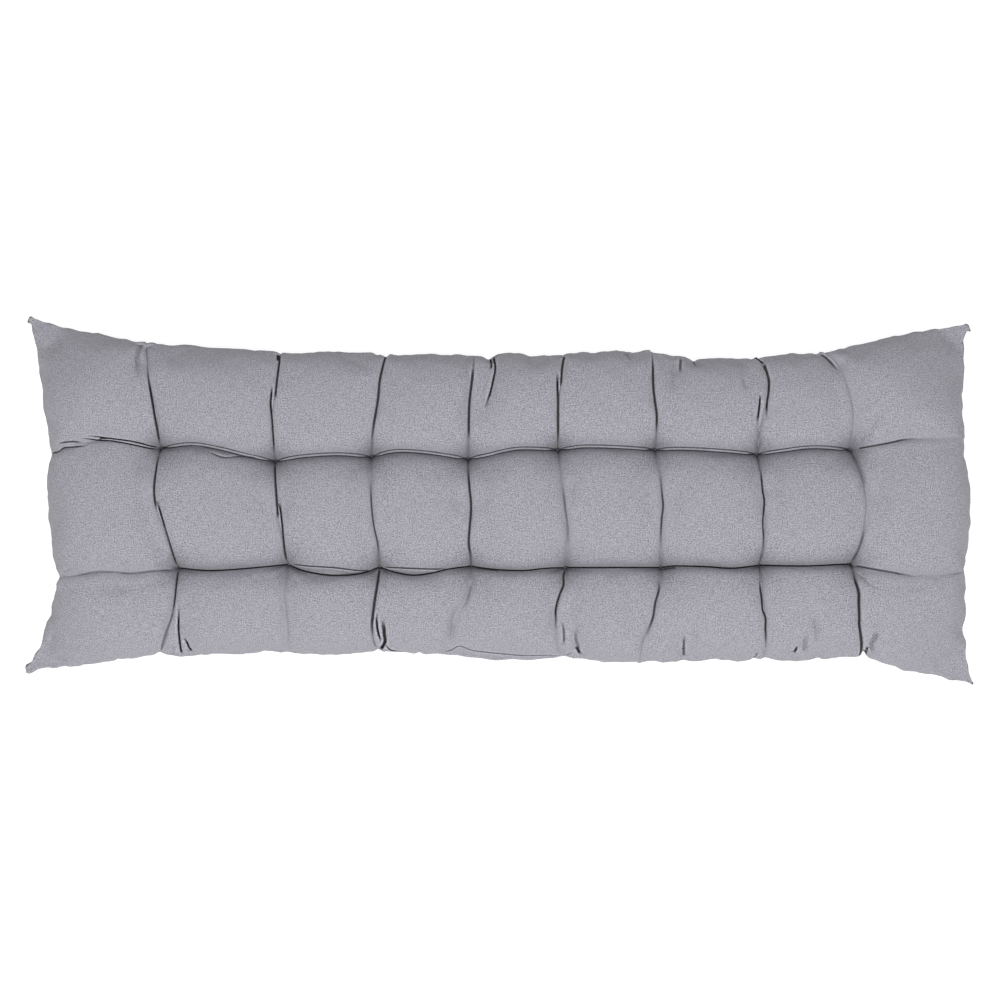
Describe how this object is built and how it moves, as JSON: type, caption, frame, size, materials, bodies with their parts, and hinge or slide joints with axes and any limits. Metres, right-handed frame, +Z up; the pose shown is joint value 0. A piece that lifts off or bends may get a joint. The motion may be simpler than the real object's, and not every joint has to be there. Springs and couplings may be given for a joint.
{
  "type": "bench cushion",
  "caption": "Long filled bench cushion in plain-woven cloth, drawn in by two rows of blind tufts, with a knife-edge seam and pointed corners.",
  "frame": {"origin": "centre of the bounding box at its base, on the surface that the cushion lies on", "axes": "+X along the bench, +Y across it towards the seam opposite the closing seam, +Z up out of the face"},
  "size_m": [1.204, 0.466, 0.0856],
  "materials": {
    "cloth": "matt plain weave in light grey with a lilac tint, slightly flecked"
  },
  "bodies": {
    "root": {"cushion": "cloth"}
  },
  "joints": []
}
